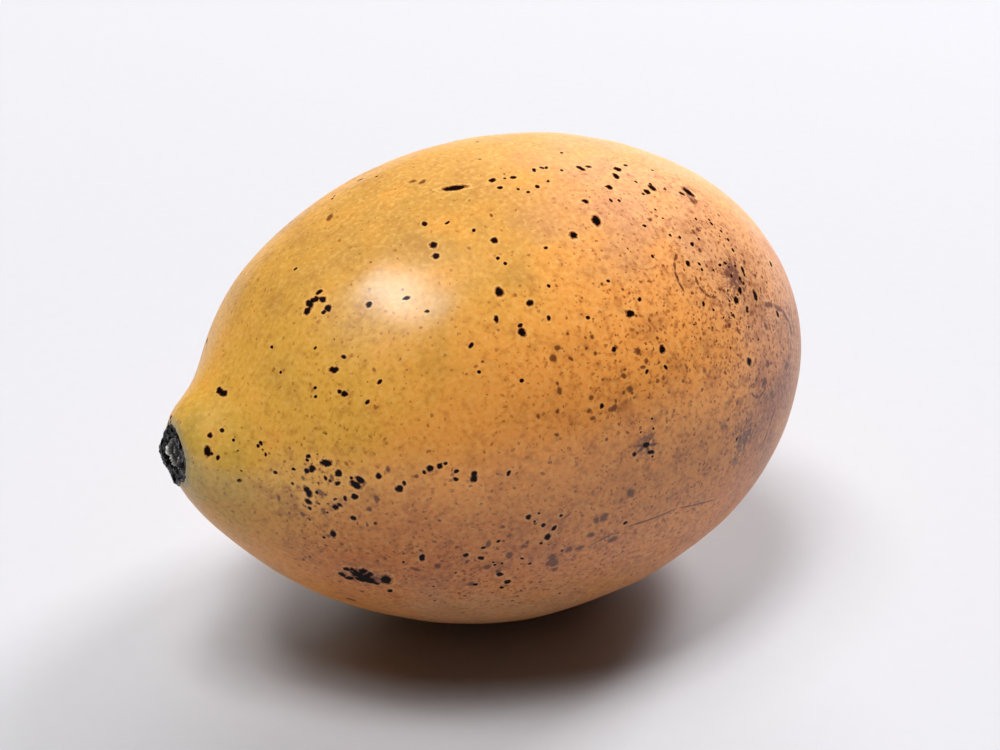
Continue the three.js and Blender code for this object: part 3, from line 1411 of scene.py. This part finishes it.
@dataclass(frozen=True)
class SoftLight:
    """A soft rectangular light.

    Args:
        name: its name.
        direction: from the fruit towards it.
        half_angles: half of the width and half of the height that it has as seen from the fruit, in degrees.
        share: its share of the light on the floor.
        colour: its red, green and blue.
        mirrored: whether gloss shows it.
    """

    name: str
    direction: tuple[float, float, float]
    half_angles: tuple[float, float]
    share: float
    colour: tuple[float, float, float] = (1.0, 1.0, 1.0)
    mirrored: bool = False


LIGHTS = (
    SoftLight("window", (-0.11, -0.03, 0.99), (8, 9), 0.32, (1.0, 0.985, 0.97)),
    SoftLight("skylight", (-0.345, 0.035, 0.935), (14, 5.5), 0.2, (1.0, 0.985, 0.97), True),
    SoftLight("lamp", (0.71, 0.18, 0.68), (8, 8), 0.27),
    SoftLight("wall", (0.62, 0.72, 0.32), (20, 14), 0.2, (0.96, 0.98, 1.0)),
)


@dataclass
class Studio:
    """The pale floor, the soft lights and the camera."""

    middle: Vector
    azimuth: float = -31.0
    elevation: float = 28.0
    distance: float = 0.1801
    lens: float = 70.0
    aim_across: float = -0.000735
    floor_half: float = 1.6
    gap: float = 0.00002
    reach: float = 1.8
    floor_glow: float = 0.93
    world_glow: float = 0.03
    lights: Sequence[SoftLight] = LIGHTS
    finish: PaleFloorFinish = field(default_factory=PaleFloorFinish)

    def lay_floor(self) -> bpy.types.Object:
        """Lays the floor just under the fruit."""
        edge = self.floor_half
        corners = [(-edge, -edge), (edge, -edge), (edge, edge), (-edge, edge)]
        mesh = bpy.data.meshes.new("floor")
        mesh.from_pydata([(x, y, -self.gap) for x, y in corners], [], [(0, 1, 2, 3)])
        floor = bpy.data.objects.new("floor", mesh)
        bpy.context.scene.collection.objects.link(floor)
        mesh.materials.append(self.finish.material())
        return floor

    def hang_light(self, light: SoftLight) -> bpy.types.Object:
        """Hangs a light that faces the fruit. Its power is worked out from its share: a light of P watts
        sheds P / (pi reach^2) on a card that faces it, and the card gives back its colour's part over pi.

        Args:
            light: which light.

        Returns:
            The light's object.
        """
        direction = Vector(light.direction).normalized()
        lamp = bpy.data.lights.new(light.name, "AREA")
        lamp.shape = "RECTANGLE"
        halves = [math.tan(math.radians(half)) for half in light.half_angles]
        lamp.size, lamp.size_y = (2 * self.reach * half for half in halves)
        card_glow = self.floor_glow / self.finish.paleness
        lamp.energy = light.share * card_glow * (math.pi * self.reach) ** 2 / direction.z
        lamp.color = light.colour
        hung = bpy.data.objects.new(light.name, lamp)
        hung.location = self.middle + direction * self.reach
        hung.rotation_euler = direction.to_track_quat("Z", "Y").to_euler()
        hung.visible_glossy = light.mirrored
        bpy.context.scene.collection.objects.link(hung)
        return hung

    def light_room(self) -> None:
        """Hangs the lights and gives the world its dim glow."""
        for light in self.lights:
            self.hang_light(light)
        world = bpy.data.worlds.new("room")
        world.use_nodes = True
        background = world.node_tree.nodes["Background"]
        background.inputs["Color"].default_value = (0.93, 0.95, 1.0, 1.0)
        background.inputs["Strength"].default_value = self.world_glow
        bpy.context.scene.world = world
        bpy.context.scene.view_settings.view_transform = "Standard"

    def aim_camera(self) -> bpy.types.Object:
        """Places the camera on the line of sight through the fruit's middle."""
        azimuth, elevation = math.radians(self.azimuth), math.radians(self.elevation)
        back = Vector((
            math.sin(azimuth) * math.cos(elevation),
            -math.cos(azimuth) * math.cos(elevation),
            math.sin(elevation),
        ))
        right = Vector((math.cos(azimuth), math.sin(azimuth), 0))
        camera = bpy.data.objects.new("camera", bpy.data.cameras.new("camera"))
        camera.data.lens = self.lens
        camera.data.clip_start = 0.01
        camera.location = self.middle + right * self.aim_across + back * self.distance
        camera.rotation_euler = back.to_track_quat("Z", "Y").to_euler()
        bpy.context.scene.collection.objects.link(camera)
        bpy.context.scene.camera = camera
        return camera


def main() -> None:
    """Builds the fruit, its stem end and the studio."""
    logging.basicConfig(level=logging.INFO, format="%(name)s: %(message)s")
    form = FruitForm.from_box(*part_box("fruit_body"))
    seat = StemSeat.from_stalk(*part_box("stalk_stub"))
    for part in (RipeFruit(form, seat), CalyxCrust(seat), StalkEnd(seat)):
        piece = part.build()
        part.dress(piece)
        log.info("%s: %d points, %d faces", piece.name, len(piece.data.vertices), len(piece.data.polygons))
    studio = Studio(middle=Vector((0, 0, form.axis_height * MM)))
    studio.lay_floor()
    studio.light_room()
    studio.aim_camera()


if __name__ == "__main__":
    main()
